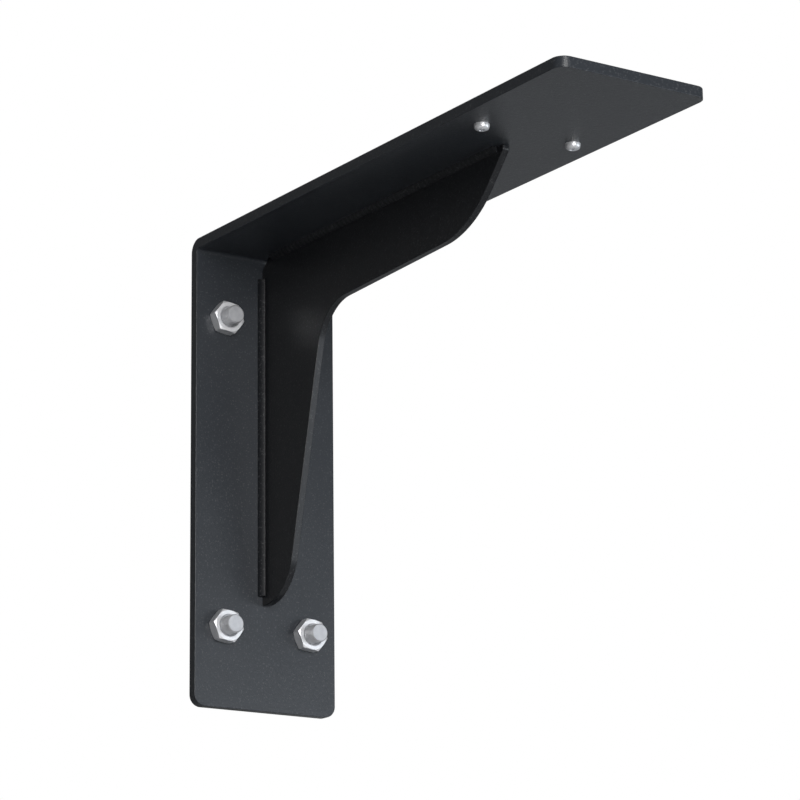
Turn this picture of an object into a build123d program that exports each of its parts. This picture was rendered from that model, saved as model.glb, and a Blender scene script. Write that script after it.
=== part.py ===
"""A rigid shelf bracket: a folded steel strip, an upright web welded into it, wall anchors and board screws.

The frame is in millimetres with +Z up. The origin is the middle of the four wall anchors on the back face
of the leg, the wall is the plane Y = 0, the arm reaches along -Y and X runs along the wall.
"""

from build123d import *
import math
import os

os.makedirs("parts", exist_ok=True)

# Folded strip.
strip_width = 70.0
strip_thickness = 4.5
arm_length = 272.0
leg_height = 205.0
fold_inner_radius = 1.5
strip_corner_radius = 5.0

# Web: reach and drop are from the wall and from the shelf face, depths and widths from the strip's inside.
web_thickness = 3.2
web_reach = 188.0
web_drop = 159.5
web_end_depth = 2.0
nose_angle = 47.0
arm_rib_tip_depth = 29.0
arm_rib_root_depth = 33.0
leg_rib_root_width = 49.5
leg_rib_end_width = 19.5
nose_radius = 46.0
crotch_radius = 22.0
foot_radius = 22.0
end_corner_radius = 1.5
cope_size = 5.0

# Fillet welds between the web and the strip.
weld_leg = 2.5
weld_bulge = 0.3
weld_end_gap = 4.0

# Wall anchors.
anchor_radius = 4.0
anchor_columns = 42.0
anchor_rows = 136.0
anchor_top_drop = 34.5
anchor_hole_clearance = 0.5
anchor_protrusion = 5.5
anchor_embedment = 48.0
anchor_end_chamfer = 0.8
shank_radius = 3.6
thread_runout = 0.4
neck_radius = 2.9
neck_length = 11.0
cone_length = 5.0
cone_land = 2.5
clip_wall = 0.8
clip_clearance = 0.1
clip_end_gap = 0.4
clip_slit = 1.6
clip_dimple_radius = 0.5

# Hexagon nuts of the anchors.
nut_flats = 13.0
nut_height = 5.0
nut_bore_clearance = 0.05
nut_chamfer_angle = 30.0
nut_countersink = 0.9
nut_turn = 52.0

# Pan-head screws that go up through the arm into the board.
screw_radius = 1.5
screw_head_radius = 3.1
screw_head_height = 2.4
screw_head_rim = 0.9
screw_length = 16.0
screw_point = 3.5
screw_tip_radius = 0.3
screw_spacing = 44.0
screw_reach = 202.5
screw_hole_clearance = 0.3

# Places that follow from the sizes above.
shelf_z = anchor_rows / 2 + anchor_top_drop
arm_under_z = shelf_z - strip_thickness
leg_end_z = shelf_z - leg_height
leg_front_y = -strip_thickness
anchor_spots = {
    "upper_left": (-anchor_columns / 2, anchor_rows / 2),
    "upper_right": (anchor_columns / 2, anchor_rows / 2),
    "lower_left": (-anchor_columns / 2, -anchor_rows / 2),
    "lower_right": (anchor_columns / 2, -anchor_rows / 2),
}
screw_spots = {"left": -screw_spacing / 2, "right": screw_spacing / 2}
sides = {"left": -1, "right": 1}


def turned_solid(points):
    """The solid turned about the Y axis by a closed outline of (radius, y) points."""
    return revolve(make_face(Polyline(*points, close=True)), Axis.Y)


def along_y(radius, start, end):
    """A cylinder about the Y axis between two values of Y."""
    return Pos(0, (start + end) / 2, 0) * Rot(90, 0, 0) * Cylinder(radius, abs(end - start))


def bent_strip():
    """The strip folded once, with rounded free corners and its anchor and screw holes."""
    outline = FilletPolyline(
        (0, leg_end_z),
        (0, shelf_z),
        (-arm_length, shelf_z),
        (-arm_length, arm_under_z),
        (leg_front_y, arm_under_z),
        (leg_front_y, leg_end_z),
        radius=[0, fold_inner_radius + strip_thickness, 0, 0, fold_inner_radius, 0],
        close=True,
    )
    strip = extrude(Plane.YZ * make_face(outline), strip_width / 2, both=True)
    arm_corners = strip.edges().filter_by(Axis.Z).group_by(Axis.Y)[0]
    leg_corners = strip.edges().filter_by(Axis.Y).group_by(Axis.Z)[0]
    strip = fillet(arm_corners + leg_corners, strip_corner_radius)
    hole_radius = anchor_radius + anchor_hole_clearance
    for x, z in anchor_spots.values():
        strip -= Pos(x, 0, z) * along_y(hole_radius, -2 * strip_thickness, strip_thickness)
    for x in screw_spots.values():
        hole = Cylinder(screw_radius + screw_hole_clearance, 3 * strip_thickness)
        strip -= Pos(x, -screw_reach, shelf_z) * hole
    return strip


def web_outline():
    """The web's outline in (y, z), from the inner corner of the strip out to the nose and the foot."""
    reach = web_reach - strip_thickness
    drop = web_drop - strip_thickness
    nose_run = (arm_rib_tip_depth - web_end_depth) / math.tan(math.radians(nose_angle))
    inside = [
        (0, cope_size),
        (cope_size, 0),
        (reach, 0),
        (reach, web_end_depth),
        (reach - nose_run, arm_rib_tip_depth),
        (leg_rib_root_width, arm_rib_root_depth),
        (leg_rib_end_width, drop),
        (0, drop),
    ]
    corners = [(leg_front_y - out, arm_under_z - down) for out, down in inside]
    radii = [0, 0, 0, end_corner_radius, nose_radius, crotch_radius, foot_radius, 0]
    return FilletPolyline(*corners, radius=radii, close=True)


def web():
    """The flat plate that stands under the middle of the arm and in front of the leg."""
    return extrude(Plane.YZ * make_face(web_outline()), web_thickness / 2, both=True)


def weld_bead(root, along_plate, along_web, run):
    """A domed bead that fills the corner of two faces, from its root point along the vector run."""
    plate_toe = root + along_plate * weld_leg
    web_toe = root + along_web * weld_leg
    bulge = (along_plate + along_web).normalized() * weld_bulge
    crown = (plate_toe + web_toe) / 2 + bulge
    section = make_face([Line(root, plate_toe), ThreePointArc(plate_toe, crown, web_toe), Line(web_toe, root)])
    return extrude(section, run.length, dir=run.normalized())


def arm_weld(side):
    """The weld between the arm's underside and one side of the web."""
    start_y = leg_front_y - cope_size - weld_end_gap
    end_y = weld_end_gap - web_reach
    root = Vector(side * web_thickness / 2, start_y, arm_under_z)
    return weld_bead(root, Vector(side, 0, 0), Vector(0, 0, -1), Vector(0, end_y - start_y, 0))


def leg_weld(side):
    """The weld between the leg's front and one side of the web."""
    start_z = arm_under_z - cope_size - weld_end_gap
    end_z = shelf_z - web_drop + weld_end_gap
    root = Vector(side * web_thickness / 2, leg_front_y, start_z)
    return weld_bead(root, Vector(side, 0, 0), Vector(0, -1, 0), Vector(0, 0, end_z - start_z))


def wall_anchor():
    """A wedge anchor's stud: threaded as far as the wall, then shank, neck for the clip and spreading cone."""
    front = leg_front_y - nut_height - anchor_protrusion
    cone_start = anchor_embedment - cone_land - cone_length
    neck_start = cone_start - neck_length
    shoulder = shank_radius - neck_radius
    tip_radius = anchor_radius - anchor_end_chamfer
    return turned_solid(
        [
            (0, front),
            (tip_radius, front),
            (anchor_radius, front + anchor_end_chamfer),
            (anchor_radius, -thread_runout),
            (shank_radius, 0),
            (shank_radius, neck_start - shoulder),
            (neck_radius, neck_start),
            (neck_radius, cone_start),
            (anchor_radius, cone_start + cone_length),
            (anchor_radius, anchor_embedment - anchor_end_chamfer),
            (tip_radius, anchor_embedment),
            (0, anchor_embedment),
        ]
    )


def expansion_clip():
    """The slit sheet-metal clip on the anchor's neck, with a row of small dimples that bite the wall."""
    cone_start = anchor_embedment - cone_land - cone_length
    start = cone_start - neck_length + clip_end_gap
    end = cone_start - clip_end_gap
    inner = neck_radius + clip_clearance
    outer = inner + clip_wall
    clip = along_y(outer, start, end) - along_y(inner, start - clip_wall, end + clip_wall)
    slit = Pos(0, (start + end) / 2, outer) * Box(clip_slit, 2 * (end - start), 2 * outer)
    clip -= slit
    for angle in (45, 135, 225, 315):
        turn = Rot(0, angle, 0)
        dimple = turn * Pos(0, (start + end) / 2, outer - clip_wall / 4) * Sphere(clip_dimple_radius)
        clip += dimple
    return clip


def nut():
    """A hexagon nut about the Y axis, seated on the leg's front, with both faces chamfered."""
    outer_corner = nut_flats / 2 / math.cos(math.pi / 6)
    chamfer = (outer_corner - nut_flats / 2) * math.tan(math.radians(nut_chamfer_angle))
    front = leg_front_y - nut_height
    flat_radius = nut_flats / 2
    hexagon = extrude(Plane.XZ * RegularPolygon(flat_radius, 6, major_radius=False, rotation=nut_turn), nut_height)
    envelope = turned_solid(
        [
            (0, front),
            (flat_radius, front),
            (outer_corner, front + chamfer),
            (outer_corner, leg_front_y - chamfer),
            (flat_radius, leg_front_y),
            (0, leg_front_y),
        ]
    )
    bore_radius = anchor_radius + nut_bore_clearance
    mouth_radius = bore_radius + nut_countersink
    bore = turned_solid(
        [
            (0, front),
            (mouth_radius, front),
            (bore_radius, front + nut_countersink),
            (bore_radius, leg_front_y - nut_countersink),
            (mouth_radius, leg_front_y),
            (0, leg_front_y),
        ]
    )
    return ((Pos(0, leg_front_y, 0) * hexagon) & envelope) - bore


def board_screw():
    """A pan-head wood screw pointing up, its head against the arm's underside."""
    head_bottom = -screw_head_height
    point_start = screw_length - screw_point
    outline = [
        Line((0, 0, head_bottom), (screw_radius, 0, head_bottom)),
        ThreePointArc(
            (screw_radius, 0, head_bottom),
            (screw_head_radius * 0.86, 0, (head_bottom - screw_head_rim) / 2 - screw_head_rim / 4),
            (screw_head_radius, 0, -screw_head_rim),
        ),
        Polyline(
            (screw_head_radius, 0, -screw_head_rim),
            (screw_head_radius, 0, 0),
            (screw_radius, 0, 0),
            (screw_radius, 0, point_start),
            (screw_tip_radius, 0, screw_length),
            (0, 0, screw_length),
            (0, 0, head_bottom),
        ),
    ]
    return revolve(make_face(outline), Axis.Z)


def parts():
    """Every node of the bracket, by name."""
    made = {"bent_strip": bent_strip(), "web_plate": web()}
    for name, side in sides.items():
        made["arm_weld_" + name] = arm_weld(side)
        made["leg_weld_" + name] = leg_weld(side)
    for name, (x, z) in anchor_spots.items():
        place = Pos(x, 0, z)
        made["wall_anchor_" + name] = place * wall_anchor()
        made["anchor_clip_" + name] = place * expansion_clip()
        made["anchor_nut_" + name] = place * nut()
    for name, x in screw_spots.items():
        made["board_screw_" + name] = Pos(x, -screw_reach, arm_under_z) * board_screw()
    return made


for node_name, solid in parts().items():
    export_step(solid, "parts/" + node_name + ".step")
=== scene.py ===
"""The looks of a shelf bracket: black powder-coated steel with zinc-plated wall anchors, nuts and screws."""

import math

import bpy
from mathutils import Matrix, Vector


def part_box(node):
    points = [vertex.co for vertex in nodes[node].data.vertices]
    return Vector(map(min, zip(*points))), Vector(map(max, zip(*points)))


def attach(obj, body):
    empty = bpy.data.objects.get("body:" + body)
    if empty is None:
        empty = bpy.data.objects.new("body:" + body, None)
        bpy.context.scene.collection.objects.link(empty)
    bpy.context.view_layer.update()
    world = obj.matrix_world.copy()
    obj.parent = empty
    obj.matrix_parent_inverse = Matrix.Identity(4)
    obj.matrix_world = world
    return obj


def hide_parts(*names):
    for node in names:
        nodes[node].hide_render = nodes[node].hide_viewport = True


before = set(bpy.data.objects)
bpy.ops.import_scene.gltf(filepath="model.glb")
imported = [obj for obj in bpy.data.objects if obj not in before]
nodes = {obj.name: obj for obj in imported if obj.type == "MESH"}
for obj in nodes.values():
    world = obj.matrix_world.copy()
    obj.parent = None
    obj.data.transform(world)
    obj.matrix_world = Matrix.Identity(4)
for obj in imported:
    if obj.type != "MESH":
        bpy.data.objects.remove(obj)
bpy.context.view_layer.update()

# ---- sizes, in metres, and angles ----
SAME_POINT = 0.000002
FLAT_ANGLE = math.radians(0.5)
QUARTER_TURN = math.radians(90)
HALF_TURN = math.radians(180)

# Rounded edges: an edge that turns by more than EDGE_ANGLE is rounded.
STRIP_EDGE = 0.0005
WEB_EDGE = 0.00035
WELD_EDGE = 0.0002
NUT_EDGE = 0.00018
CLIP_EDGE = 0.00008
EDGE_STEPS = 3
CLIP_EDGE_STEPS = 2
EDGE_ANGLE = math.radians(28)
EDGE_SMOOTH = math.radians(35)

# Wall anchors: the thread ends just before the wall, and the cone starts behind the clip.
THREAD_PITCH = 0.00125
THREAD_DEPTH = 0.00065
THREAD_CREST = (0.42, 0.55)
THREAD_END = -0.0004
STUD_CHAMFER = 0.0005
STUD_LIP = 0.0001
STUD_LIP_SHARE = 0.7
STUD_SIDES = 48
STUD_SMOOTH = math.radians(24)
SHANK_STEP = 0.0002
NECK_STEP = 0.0009
NECK_SHOULDER = 0.0007
CLIP_GAP = 0.0004
CONE_LENGTH = 0.005
CONE_END_CHAMFER = 0.0008

# Board screws: the head is (share of its radius, rise above its lowest point).
ARM_THICKNESS = 0.0045
SCREW_HEAD = ((0.48, 0.0), (0.70, 0.00014), (0.86, 0.00045), (0.95, 0.0009), (1.0, 0.0015))
SCREW_CORE = 0.00112
SCREW_OUTER = 0.0015
SCREW_NECK = 0.0001
SCREW_PITCH = 0.0012
SCREW_CREST = (0.4, 0.5)
SCREW_POINT = 0.0042
SCREW_TIP = ((SCREW_CORE, 0.0), (SCREW_OUTER * 0.72, 0.35), (SCREW_CORE * 0.62, 0.5))
SCREW_TIP_END = SCREW_CORE * 0.2
SCREW_SIDES = 40
SCREW_SMOOTH = math.radians(32)
RECESS_ARM = 0.0020
RECESS_WIDTH = 0.0011
RECESS_DEPTH = 0.0013
RECESS_TAPER = 0.55

SPOTS = ("upper_left", "upper_right", "lower_left", "lower_right")
SIDES = ("left", "right")

# ---- finishes: patterns in lumps to a metre, heights in metres ----
COAT_GRAIN = 2600
COAT_PEEL = 620
COAT_CLOUD = 16
COAT_SPECK = 1300
COAT_HEIGHT = 0.00012
COAT_BUMP = 0.7
SPECK_STOPS = [(0.60, 0.0), (0.72, 1.0)]
SPECK_SHARE = 0.22
SPECK_COLOUR = (0.16, 0.165, 0.17)
GRAIN_SHARE = 0.45
PEEL_SHARE = 0.55
COAT_GLOSS_CLOUD = 0.07
COAT_GLOSS_GRAIN = 0.10
RIPPLE_LUMPS = 210.0
RIPPLE_HEIGHT = 0.0002
RIPPLE_GRAIN_SHARE = 0.4

ZINC_CLOUD = 420
ZINC_MARKS = 3000
ZINC_MARK_STRETCH = (1, 0.25, 1)
ZINC_METAL = 0.6
ZINC_GLOSS_CLOUD = 0.14
ZINC_GLOSS_MARKS = 0.08
ZINC_HEIGHT = 0.00004
ZINC_BUMP = 0.5

# ---- stage ----
EYE = Vector((-0.7319, -1.2054, -0.3363))
TARGET = Vector((-0.006, -0.119, 0.008))
LENS = 150.0
ROLL = math.radians(-0.65)
FAR_CLIP = 50

FLOOR = -1.1
STAGE_SIZE = 14.0
WALL_GAP = 0.0004
BOARD_GAP = 0.0003
BOARD_PATCH = 0.06
BOARD_PLACE = (-0.02, -0.2)
FLOOR_GREY = 0.82
FLOOR_WHITE_SHARE = 0.93
SURROUND_LEVEL = 0.13
COOL_WHITE = (0.88, 0.94, 1.0)
WARM_WHITE = (1.0, 0.99, 0.98)


# ---- materials ----
class Value:
    """A socket that adds, subtracts and multiplies as a number does, by adding Math nodes."""

    def __init__(self, shading, socket):
        self.shading = shading
        self.socket = socket

    def _math(self, operation, *inputs):
        return self.shading.node("ShaderNodeMath", {"operation": operation}, dict(enumerate(inputs)))

    def __add__(self, other):
        return self._math("ADD", self, other)

    def __radd__(self, other):
        return self._math("ADD", other, self)

    def __sub__(self, other):
        return self._math("SUBTRACT", self, other)

    def __rsub__(self, other):
        return self._math("SUBTRACT", other, self)

    def __mul__(self, other):
        return self._math("MULTIPLY", self, other)

    def __rmul__(self, other):
        return self._math("MULTIPLY", other, self)


class Shading:
    """The nodes of a material or of the world, which all come from one method."""

    def __init__(self, owner, ending):
        self.owner = owner
        self.ending = ending
        owner.use_nodes = True
        self.tree = owner.node_tree
        self.tree.nodes.clear()

    def node(self, kind, settings=None, inputs=None, output=0):
        """A node of that kind with its settings, then its sockets' values or links."""
        made = self.tree.nodes.new(kind)
        for key, value in (settings or {}).items():
            if key == "stops":
                set_stops(made.color_ramp, value)
            else:
                setattr(made, key, value)
        for key, value in (inputs or {}).items():
            if isinstance(value, Value):
                self.tree.links.new(value.socket, made.inputs[key])
            else:
                made.inputs[key].default_value = value
        return Value(self, made.outputs[output]) if made.outputs else None

    def from_camera(self):
        """1 where the camera itself looks at the surface."""
        return self.node("ShaderNodeLightPath", output="Is Camera Ray")

    def blend(self, share, first, second):
        """A shader between two shaders."""
        return self.node("ShaderNodeMixShader", {}, {0: share, 1: first, 2: second})

    def finish(self, shader):
        """Ends the nodes in this shader and returns the material or world."""
        self.node(self.ending, {}, {"Surface": shader})
        return self.owner


class Material(Shading):
    """A material's nodes, with the patterns that the finishes share."""

    def __init__(self, name):
        super().__init__(bpy.data.materials.new(name), "ShaderNodeOutputMaterial")

    def place(self):
        """The point on the piece, in metres."""
        return self.node("ShaderNodeTexCoord", output="Object")

    def noise(self, scale, detail=2.0, roughness=0.5, stretch=(1, 1, 1)):
        """Noise from 0 to 1 with about scale lumps in a metre."""
        point = self.node("ShaderNodeMapping", {}, {"Vector": self.place(), "Scale": stretch})
        sizes = {"Vector": point, "Scale": scale, "Detail": detail, "Roughness": roughness}
        return self.node("ShaderNodeTexNoise", {}, sizes, output="Fac")

    def ramp(self, value, stops):
        """Greys along a value, as (place, grey) stops."""
        return self.node("ShaderNodeValToRGB", {"stops": stops}, {"Fac": value}, output="Color")

    def mix(self, share, first, second):
        """A colour between two colours."""
        return self.node("ShaderNodeMix", {"data_type": "RGBA"}, {0: share, 6: first, 7: second}, output=2)

    def bump(self, height, distance, strength=1.0):
        """A normal from a height in units of distance, in metres."""
        sizes = {"Height": height, "Distance": distance, "Strength": strength}
        return self.node("ShaderNodeBump", {}, sizes)

    def plain_white(self):
        """A glow that renders as white."""
        return self.node("ShaderNodeEmission", {}, {"Color": grey(1.0), "Strength": 1.0})


def set_stops(ramp, stops):
    """Gives a colour ramp these (place, grey) stops."""
    while len(ramp.elements) < len(stops):
        ramp.elements.new(0.5)
    for element, (place, level) in zip(ramp.elements, stops):
        element.position = place
        element.color = grey(level)


def grey(level):
    """A neutral colour."""
    return (level, level, level, 1)


def solid(colour):
    """A colour with full alpha."""
    return (*colour, 1)


def powder_coat(name, light, dark, roughness, shine=0.5, ripple=0.0):
    """Semi-gloss powder coat: fine orange-peel grain over a slow change of depth and gloss."""
    coat = Material(name)
    grain = coat.noise(COAT_GRAIN, detail=3.0, roughness=0.6)
    peel = coat.noise(COAT_PEEL)
    cloud = coat.noise(COAT_CLOUD, detail=3.0)
    speck = coat.ramp(coat.noise(COAT_SPECK, detail=1.0), SPECK_STOPS)
    base = coat.mix(cloud, solid(dark), solid(light))
    base = coat.mix(speck * SPECK_SHARE, base, solid(SPECK_COLOUR))
    gloss = roughness + cloud * COAT_GLOSS_CLOUD + grain * COAT_GLOSS_GRAIN
    height = grain * GRAIN_SHARE + peel * PEEL_SHARE
    if ripple:
        height = height * RIPPLE_GRAIN_SHARE + weld_ripple(coat) * ripple
    normal = coat.bump(height, COAT_HEIGHT + RIPPLE_HEIGHT * ripple, COAT_BUMP)
    inputs = {"Base Color": base, "Roughness": gloss, "Normal": normal, "Specular IOR Level": shine}
    return coat.finish(coat.node("ShaderNodeBsdfPrincipled", {}, inputs))


def weld_ripple(coat):
    """The scalloped steps that a weld bead shows along its run."""
    inputs = {"Vector": coat.place(), "Scale": RIPPLE_LUMPS, "Distortion": 1.5, "Detail": 1.0}
    inputs["Detail Scale"] = 2.0
    return coat.node("ShaderNodeTexWave", {"bands_direction": "DIAGONAL"}, inputs, output="Fac")


def zinc_plate(name, light, dark, roughness):
    """Bright zinc plate: metal with faint cloudy tone, fine tool marks and a soft gloss."""
    zinc = Material(name)
    cloud = zinc.noise(ZINC_CLOUD, detail=3.0)
    marks = zinc.noise(ZINC_MARKS, stretch=ZINC_MARK_STRETCH)
    base = zinc.mix(cloud, solid(dark), solid(light))
    gloss = roughness + cloud * ZINC_GLOSS_CLOUD + marks * ZINC_GLOSS_MARKS
    normal = zinc.bump(marks, ZINC_HEIGHT, ZINC_BUMP)
    inputs = {"Base Color": base, "Metallic": ZINC_METAL, "Roughness": gloss, "Normal": normal}
    return zinc.finish(zinc.node("ShaderNodeBsdfPrincipled", {}, inputs))


def white_ground():
    """A floor that looks white and still takes a soft shadow."""
    ground = Material("ground_white")
    lit = ground.node("ShaderNodeBsdfDiffuse", {}, {"Color": grey(FLOOR_GREY)})
    share = ground.from_camera() * FLOOR_WHITE_SHARE
    return ground.finish(ground.blend(share, lit, ground.plain_white()))


def one_sided_white(name):
    """White from the room's side and clear from behind: it hides only what is inside wall or board."""
    wall = Material(name)
    behind = wall.node("ShaderNodeNewGeometry", output="Backfacing")
    clear = wall.node("ShaderNodeBsdfTransparent")
    return wall.finish(wall.blend(wall.from_camera() * (1 - behind), clear, wall.plain_white()))


STRIP_COAT = powder_coat("coat_strip", (0.026, 0.030, 0.036), (0.016, 0.019, 0.024), 0.25)
# Painted shade: the web has the strip's own black coat, but its colour is set darker than the strip's to
# stand in for the shade on the web's sides.
WEB_COAT_PAINTED_SHADE = powder_coat("coat_web", (0.010, 0.011, 0.013), (0.005, 0.006, 0.008), 0.27, shine=0.4)
# Painted shade: the weld beads have the strip's black coat, but their colour is set darker to stand in for
# the shade in the corners between web and strip.
WELD_COAT_PAINTED_SHADE = powder_coat(
    "coat_weld", (0.008, 0.009, 0.011), (0.004, 0.005, 0.007), 0.40, shine=0.25, ripple=0.5
)
NUT_ZINC = zinc_plate("zinc_nut", (0.90, 0.91, 0.93), (0.74, 0.75, 0.78), 0.27)
STUD_ZINC = zinc_plate("zinc_stud", (0.60, 0.61, 0.63), (0.40, 0.41, 0.44), 0.30)
SCREW_ZINC = zinc_plate("zinc_screw", (0.88, 0.89, 0.91), (0.70, 0.71, 0.74), 0.27)


# ---- meshes ----
def deselect():
    """Leaves nothing selected."""
    bpy.ops.object.select_all(action="DESELECT")


def activate(piece):
    """Selects this piece alone."""
    deselect()
    piece.select_set(True)
    bpy.context.view_layer.objects.active = piece


def set_material(piece, material):
    """Gives the whole piece one material."""
    piece.data.materials.clear()
    piece.data.materials.append(material)


def apply_modifier(piece, kind, **settings):
    """Adds a modifier and applies it at once."""
    activate(piece)
    modifier = piece.modifiers.new(kind.lower(), kind)
    for key, value in settings.items():
        setattr(modifier, key, value)
    bpy.ops.object.modifier_apply(modifier=modifier.name)


def smooth(piece, angle):
    """Shades the piece smooth where its faces bend by less than this angle."""
    activate(piece)
    bpy.ops.object.shade_smooth_by_angle(angle=angle)


def settle(piece):
    """Puts the piece's place into its mesh, with doubles merged and faces pointing outwards."""
    activate(piece)
    bpy.ops.object.transform_apply(location=True, rotation=True, scale=True)
    bpy.ops.object.mode_set(mode="EDIT")
    bpy.ops.mesh.select_all(action="SELECT")
    bpy.ops.mesh.remove_doubles(threshold=SAME_POINT)
    bpy.ops.mesh.normals_make_consistent(inside=False)
    bpy.ops.object.mode_set(mode="OBJECT")


def join_body(piece, node, material):
    """The piece rides on the part's one body in place of a CAD node."""
    piece.name = node + "_finished"
    set_material(piece, material)
    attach(piece, "root")
    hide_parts(node)


def node_box(node):
    """A node's lowest and highest corners, as vectors."""
    low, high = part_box(node)
    return Vector(low), Vector(high)


def merged_copy(node):
    """A copy of a CAD node with its triangles joined up and flat faces made whole."""
    piece = nodes[node].copy()
    piece.data = nodes[node].data.copy()
    piece.parent = None
    piece.matrix_world = Matrix.Identity(4)
    bpy.context.scene.collection.objects.link(piece)
    activate(piece)
    bpy.ops.object.mode_set(mode="EDIT")
    bpy.ops.mesh.select_all(action="SELECT")
    bpy.ops.mesh.remove_doubles(threshold=SAME_POINT)
    bpy.ops.mesh.dissolve_limited(angle_limit=FLAT_ANGLE)
    bpy.ops.object.mode_set(mode="OBJECT")
    return piece


def rounded_copy(node, edge, material, steps=EDGE_STEPS):
    """A CAD node's own shape with its sharp edges rounded, shaded smooth across small angles."""
    piece = merged_copy(node)
    apply_modifier(
        piece,
        "BEVEL",
        width=edge,
        segments=steps,
        limit_method="ANGLE",
        angle_limit=EDGE_ANGLE,
        use_clamp_overlap=True,
    )
    smooth(piece, EDGE_SMOOTH)
    apply_modifier(piece, "WEIGHTED_NORMAL", mode="FACE_AREA", weight=100, keep_sharp=True)
    join_body(piece, node, material)


def extrude_ring(step, scale):
    """Extrudes the selected ring along Z by step and scales it about its own middle."""
    bpy.ops.mesh.extrude_region_move(TRANSFORM_OT_translate={"value": (0, 0, step)})
    if abs(scale - 1) > 1e-6:
        bpy.ops.transform.resize(value=(scale, scale, 1))


def turned_piece(name, rings, sides):
    """A closed turned piece about Z: each ring is (radius, z), extruded from the one before it."""
    deselect()
    radius, z = rings[0]
    bpy.ops.mesh.primitive_circle_add(
        vertices=sides, radius=radius, fill_type="NGON", location=(0, 0, z)
    )
    piece = bpy.context.object
    piece.name = name
    bpy.ops.object.mode_set(mode="EDIT")
    bpy.ops.mesh.select_all(action="SELECT")
    for next_radius, next_z in rings[1:]:
        extrude_ring(next_z - z, next_radius / radius)
        radius, z = next_radius, next_z
    bpy.ops.object.mode_set(mode="OBJECT")
    bpy.ops.object.transform_apply(location=True, rotation=False, scale=False)
    bpy.ops.object.mode_set(mode="EDIT")
    bpy.ops.mesh.edge_face_add()
    bpy.ops.object.mode_set(mode="OBJECT")
    return piece


def thread_rings(outer, start, end):
    """Rings of a V thread of whole turns from start up towards end."""
    rings = []
    crest_start, crest_end = THREAD_CREST
    z = start
    for _ in range(int((end - start) / THREAD_PITCH)):
        rings.append((outer - THREAD_DEPTH, z))
        rings.append((outer, z + THREAD_PITCH * crest_start))
        rings.append((outer, z + THREAD_PITCH * crest_end))
        z += THREAD_PITCH
    rings.append((outer - THREAD_DEPTH, z))
    return rings


# ---- pieces ----
def anchor_piece(spot):
    """A wedge anchor with its cut thread, plain shank, neck and cone, in the CAD anchor's place."""
    node = "wall_anchor_" + spot
    low, high = node_box(node)
    clip_low, clip_high = node_box("anchor_clip_" + spot)
    outer = (high.x - low.x) / 2
    clip_outer = (clip_high.x - clip_low.x) / 2
    shank = clip_outer - SHANK_STEP
    neck = clip_outer - NECK_STEP
    rings = [(outer - STUD_CHAMFER, low.y), (outer - STUD_LIP, low.y + STUD_CHAMFER * STUD_LIP_SHARE)]
    rings += thread_rings(outer, low.y + STUD_CHAMFER, THREAD_END)
    rings += [
        (shank, 0.0),
        (shank, clip_low.y - CLIP_GAP - NECK_SHOULDER),
        (neck, clip_low.y - CLIP_GAP),
        (neck, clip_high.y + CLIP_GAP),
        (outer, clip_high.y + CLIP_GAP + CONE_LENGTH),
        (outer, high.y - CONE_END_CHAMFER),
        (outer - CONE_END_CHAMFER, high.y),
    ]
    piece = turned_piece(node + "_turned", rings, STUD_SIDES)
    piece.rotation_euler = (-QUARTER_TURN, 0, 0)
    piece.location = ((low.x + high.x) / 2, 0, (low.z + high.z) / 2)
    settle(piece)
    smooth(piece, STUD_SMOOTH)
    join_body(piece, node, STUD_ZINC)


def recess_arm(centre_x, centre_y, bottom, long_x, long_y):
    """One arm of a screw's cross, narrower where it is deeper in the head."""
    deselect()
    bpy.ops.mesh.primitive_cube_add(
        size=2, location=(centre_x, centre_y, bottom), scale=(long_x, long_y, RECESS_DEPTH)
    )
    arm = bpy.context.object
    bpy.ops.object.transform_apply(location=True, rotation=False, scale=True)
    bpy.ops.object.mode_set(mode="EDIT")
    bpy.ops.mesh.select_all(action="DESELECT")
    bpy.ops.object.mode_set(mode="OBJECT")
    for corner in arm.data.vertices:
        corner.select = corner.co.z > bottom
    bpy.ops.object.mode_set(mode="EDIT")
    bpy.ops.transform.resize(
        value=(RECESS_TAPER, RECESS_TAPER, 1), center_override=(centre_x, centre_y, bottom)
    )
    bpy.ops.object.mode_set(mode="OBJECT")
    return arm


def recess_cutter(centre_x, centre_y, bottom):
    """A tapered cross that cuts a screw head's drive."""
    first = recess_arm(centre_x, centre_y, bottom, RECESS_ARM, RECESS_WIDTH / 2)
    second = recess_arm(centre_x, centre_y, bottom, RECESS_WIDTH / 2, RECESS_ARM)
    apply_modifier(first, "BOOLEAN", operation="UNION", object=second, solver="EXACT")
    bpy.data.objects.remove(second)
    return first


def screw_rings(head, bottom, seat, top):
    """Rings of a board screw: its low round head, its coarse thread and its point."""
    crest_start, crest_end = SCREW_CREST
    rings = [(head * share, bottom + rise) for share, rise in SCREW_HEAD]
    rings += [(head, seat), (SCREW_CORE, seat + SCREW_NECK)]
    z = seat + SCREW_PITCH
    while z < top - SCREW_POINT:
        rings.append((SCREW_CORE, z))
        rings.append((SCREW_OUTER, z + SCREW_PITCH * crest_start))
        rings.append((SCREW_OUTER, z + SCREW_PITCH * crest_end))
        z += SCREW_PITCH
    rings += [(radius, z + (top - z) * share) for radius, share in SCREW_TIP]
    rings.append((SCREW_TIP_END, top))
    return rings


def screw_piece(side):
    """A board screw with a cross recess in its low round head, a coarse thread and a point."""
    node = "board_screw_" + side
    low, high = node_box(node)
    middle_x, middle_y = (low.x + high.x) / 2, (low.y + high.y) / 2
    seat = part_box("bent_strip")[1][2] - ARM_THICKNESS
    rings = screw_rings((high.x - low.x) / 2, low.z, seat, high.z)
    piece = turned_piece(node + "_turned", rings, SCREW_SIDES)
    piece.location = (middle_x, middle_y, 0)
    settle(piece)
    cutter = recess_cutter(middle_x, middle_y, low.z)
    apply_modifier(piece, "BOOLEAN", operation="DIFFERENCE", object=cutter, solver="EXACT")
    bpy.data.objects.remove(cutter)
    smooth(piece, SCREW_SMOOTH)
    join_body(piece, node, SCREW_ZINC)


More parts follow.
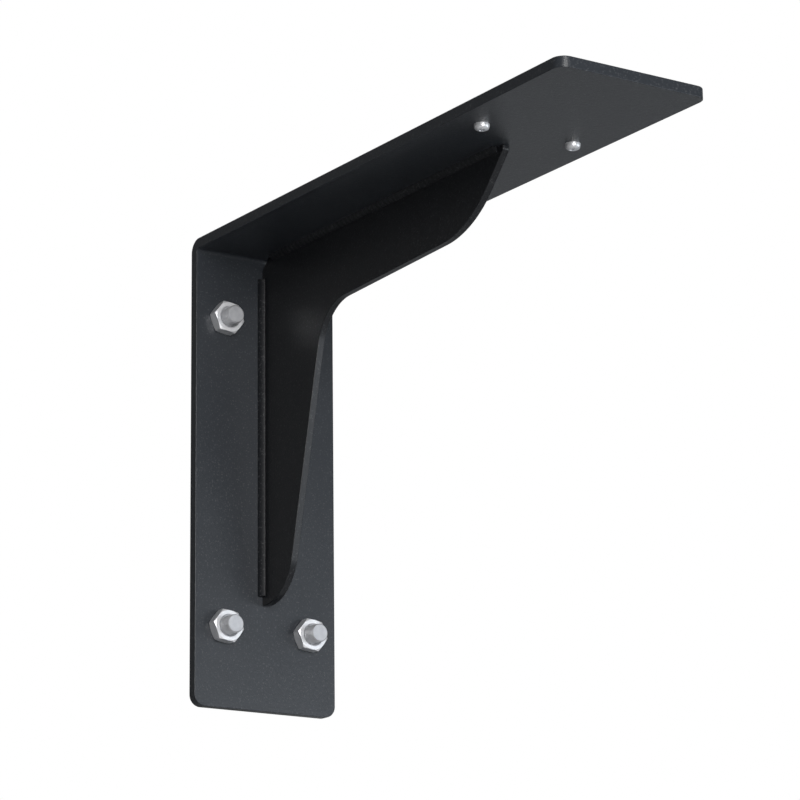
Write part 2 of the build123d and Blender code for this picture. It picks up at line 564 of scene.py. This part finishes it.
rounded_copy("bent_strip", STRIP_EDGE, STRIP_COAT)
rounded_copy("web_plate", WEB_EDGE, WEB_COAT_PAINTED_SHADE)
for side_name in SIDES:
    rounded_copy("arm_weld_" + side_name, WELD_EDGE, WELD_COAT_PAINTED_SHADE)
    rounded_copy("leg_weld_" + side_name, WELD_EDGE, WELD_COAT_PAINTED_SHADE)
    screw_piece(side_name)
for spot_name in SPOTS:
    rounded_copy("anchor_nut_" + spot_name, NUT_EDGE, NUT_ZINC)
    rounded_copy("anchor_clip_" + spot_name, CLIP_EDGE, STUD_ZINC, steps=CLIP_EDGE_STEPS)
    anchor_piece(spot_name)


# ---- camera, floor and light ----
def add_camera():
    """A long lens from below the arm, to the left of the bracket."""
    data = bpy.data.cameras.new("camera")
    data.lens = LENS
    data.clip_end = FAR_CLIP
    camera = bpy.data.objects.new("camera", data)
    bpy.context.scene.collection.objects.link(camera)
    turn = (TARGET - EYE).to_track_quat("-Z", "Y").to_matrix() @ Matrix.Rotation(ROLL, 3, "Z")
    camera.matrix_world = Matrix.Translation(EYE) @ turn.to_4x4()
    bpy.context.scene.camera = camera


def add_plane(name, size, place, turn, material):
    """A flat stage piece."""
    deselect()
    bpy.ops.mesh.primitive_grid_add(
        x_subdivisions=2, y_subdivisions=2, size=size, location=place, rotation=turn
    )
    plane = bpy.context.object
    plane.name = name
    set_material(plane, material)


def add_lamp(name, place, aim, size, power, colour):
    """A soft rectangular lamp that points at aim, with its power in watts."""
    data = bpy.data.lights.new(name, "AREA")
    data.shape = "RECTANGLE"
    data.size, data.size_y = size
    data.energy = power
    data.color = colour
    lamp = bpy.data.objects.new(name, data)
    lamp.location = place
    lamp.rotation_euler = (Vector(aim) - Vector(place)).to_track_quat("-Z", "Y").to_euler()
    bpy.context.scene.collection.objects.link(lamp)


def surround():
    """A world that looks white and lights the object dimly."""
    world = Shading(bpy.data.worlds.new("surround"), "ShaderNodeOutputWorld")
    dim = world.node("ShaderNodeBackground", {}, {"Color": grey(SURROUND_LEVEL)})
    white = world.node("ShaderNodeBackground", {}, {"Color": grey(1.0)})
    return world.finish(world.blend(world.from_camera(), dim, white))


add_camera()
add_plane("floor", STAGE_SIZE, (0, 0, FLOOR), (0, 0, 0), white_ground())
add_plane(
    "wall",
    STAGE_SIZE,
    (0, WALL_GAP, FLOOR + STAGE_SIZE / 2),
    (QUARTER_TURN, 0, 0),
    one_sided_white("wall_white"),
)
add_plane(
    "board",
    BOARD_PATCH,
    (*BOARD_PLACE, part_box("bent_strip")[1][2] + BOARD_GAP),
    (HALF_TURN, 0, 0),
    one_sided_white("board_white"),
)
add_lamp("front", (0.75, -0.85, -0.14), (0, 0, -0.06), (0.9, 0.45), 3.6, COOL_WHITE)
add_lamp("side", (0.8, 0.55, -0.35), (0, -0.18, 0.06), (0.8, 0.6), 0.36, COOL_WHITE)
add_lamp("key", (-0.4, -1.55, 0.12), (0, -0.1, 0.0), (0.7, 0.7), 23.0, WARM_WHITE)
bpy.context.scene.world = surround()
bpy.context.scene.view_settings.view_transform = "Standard"
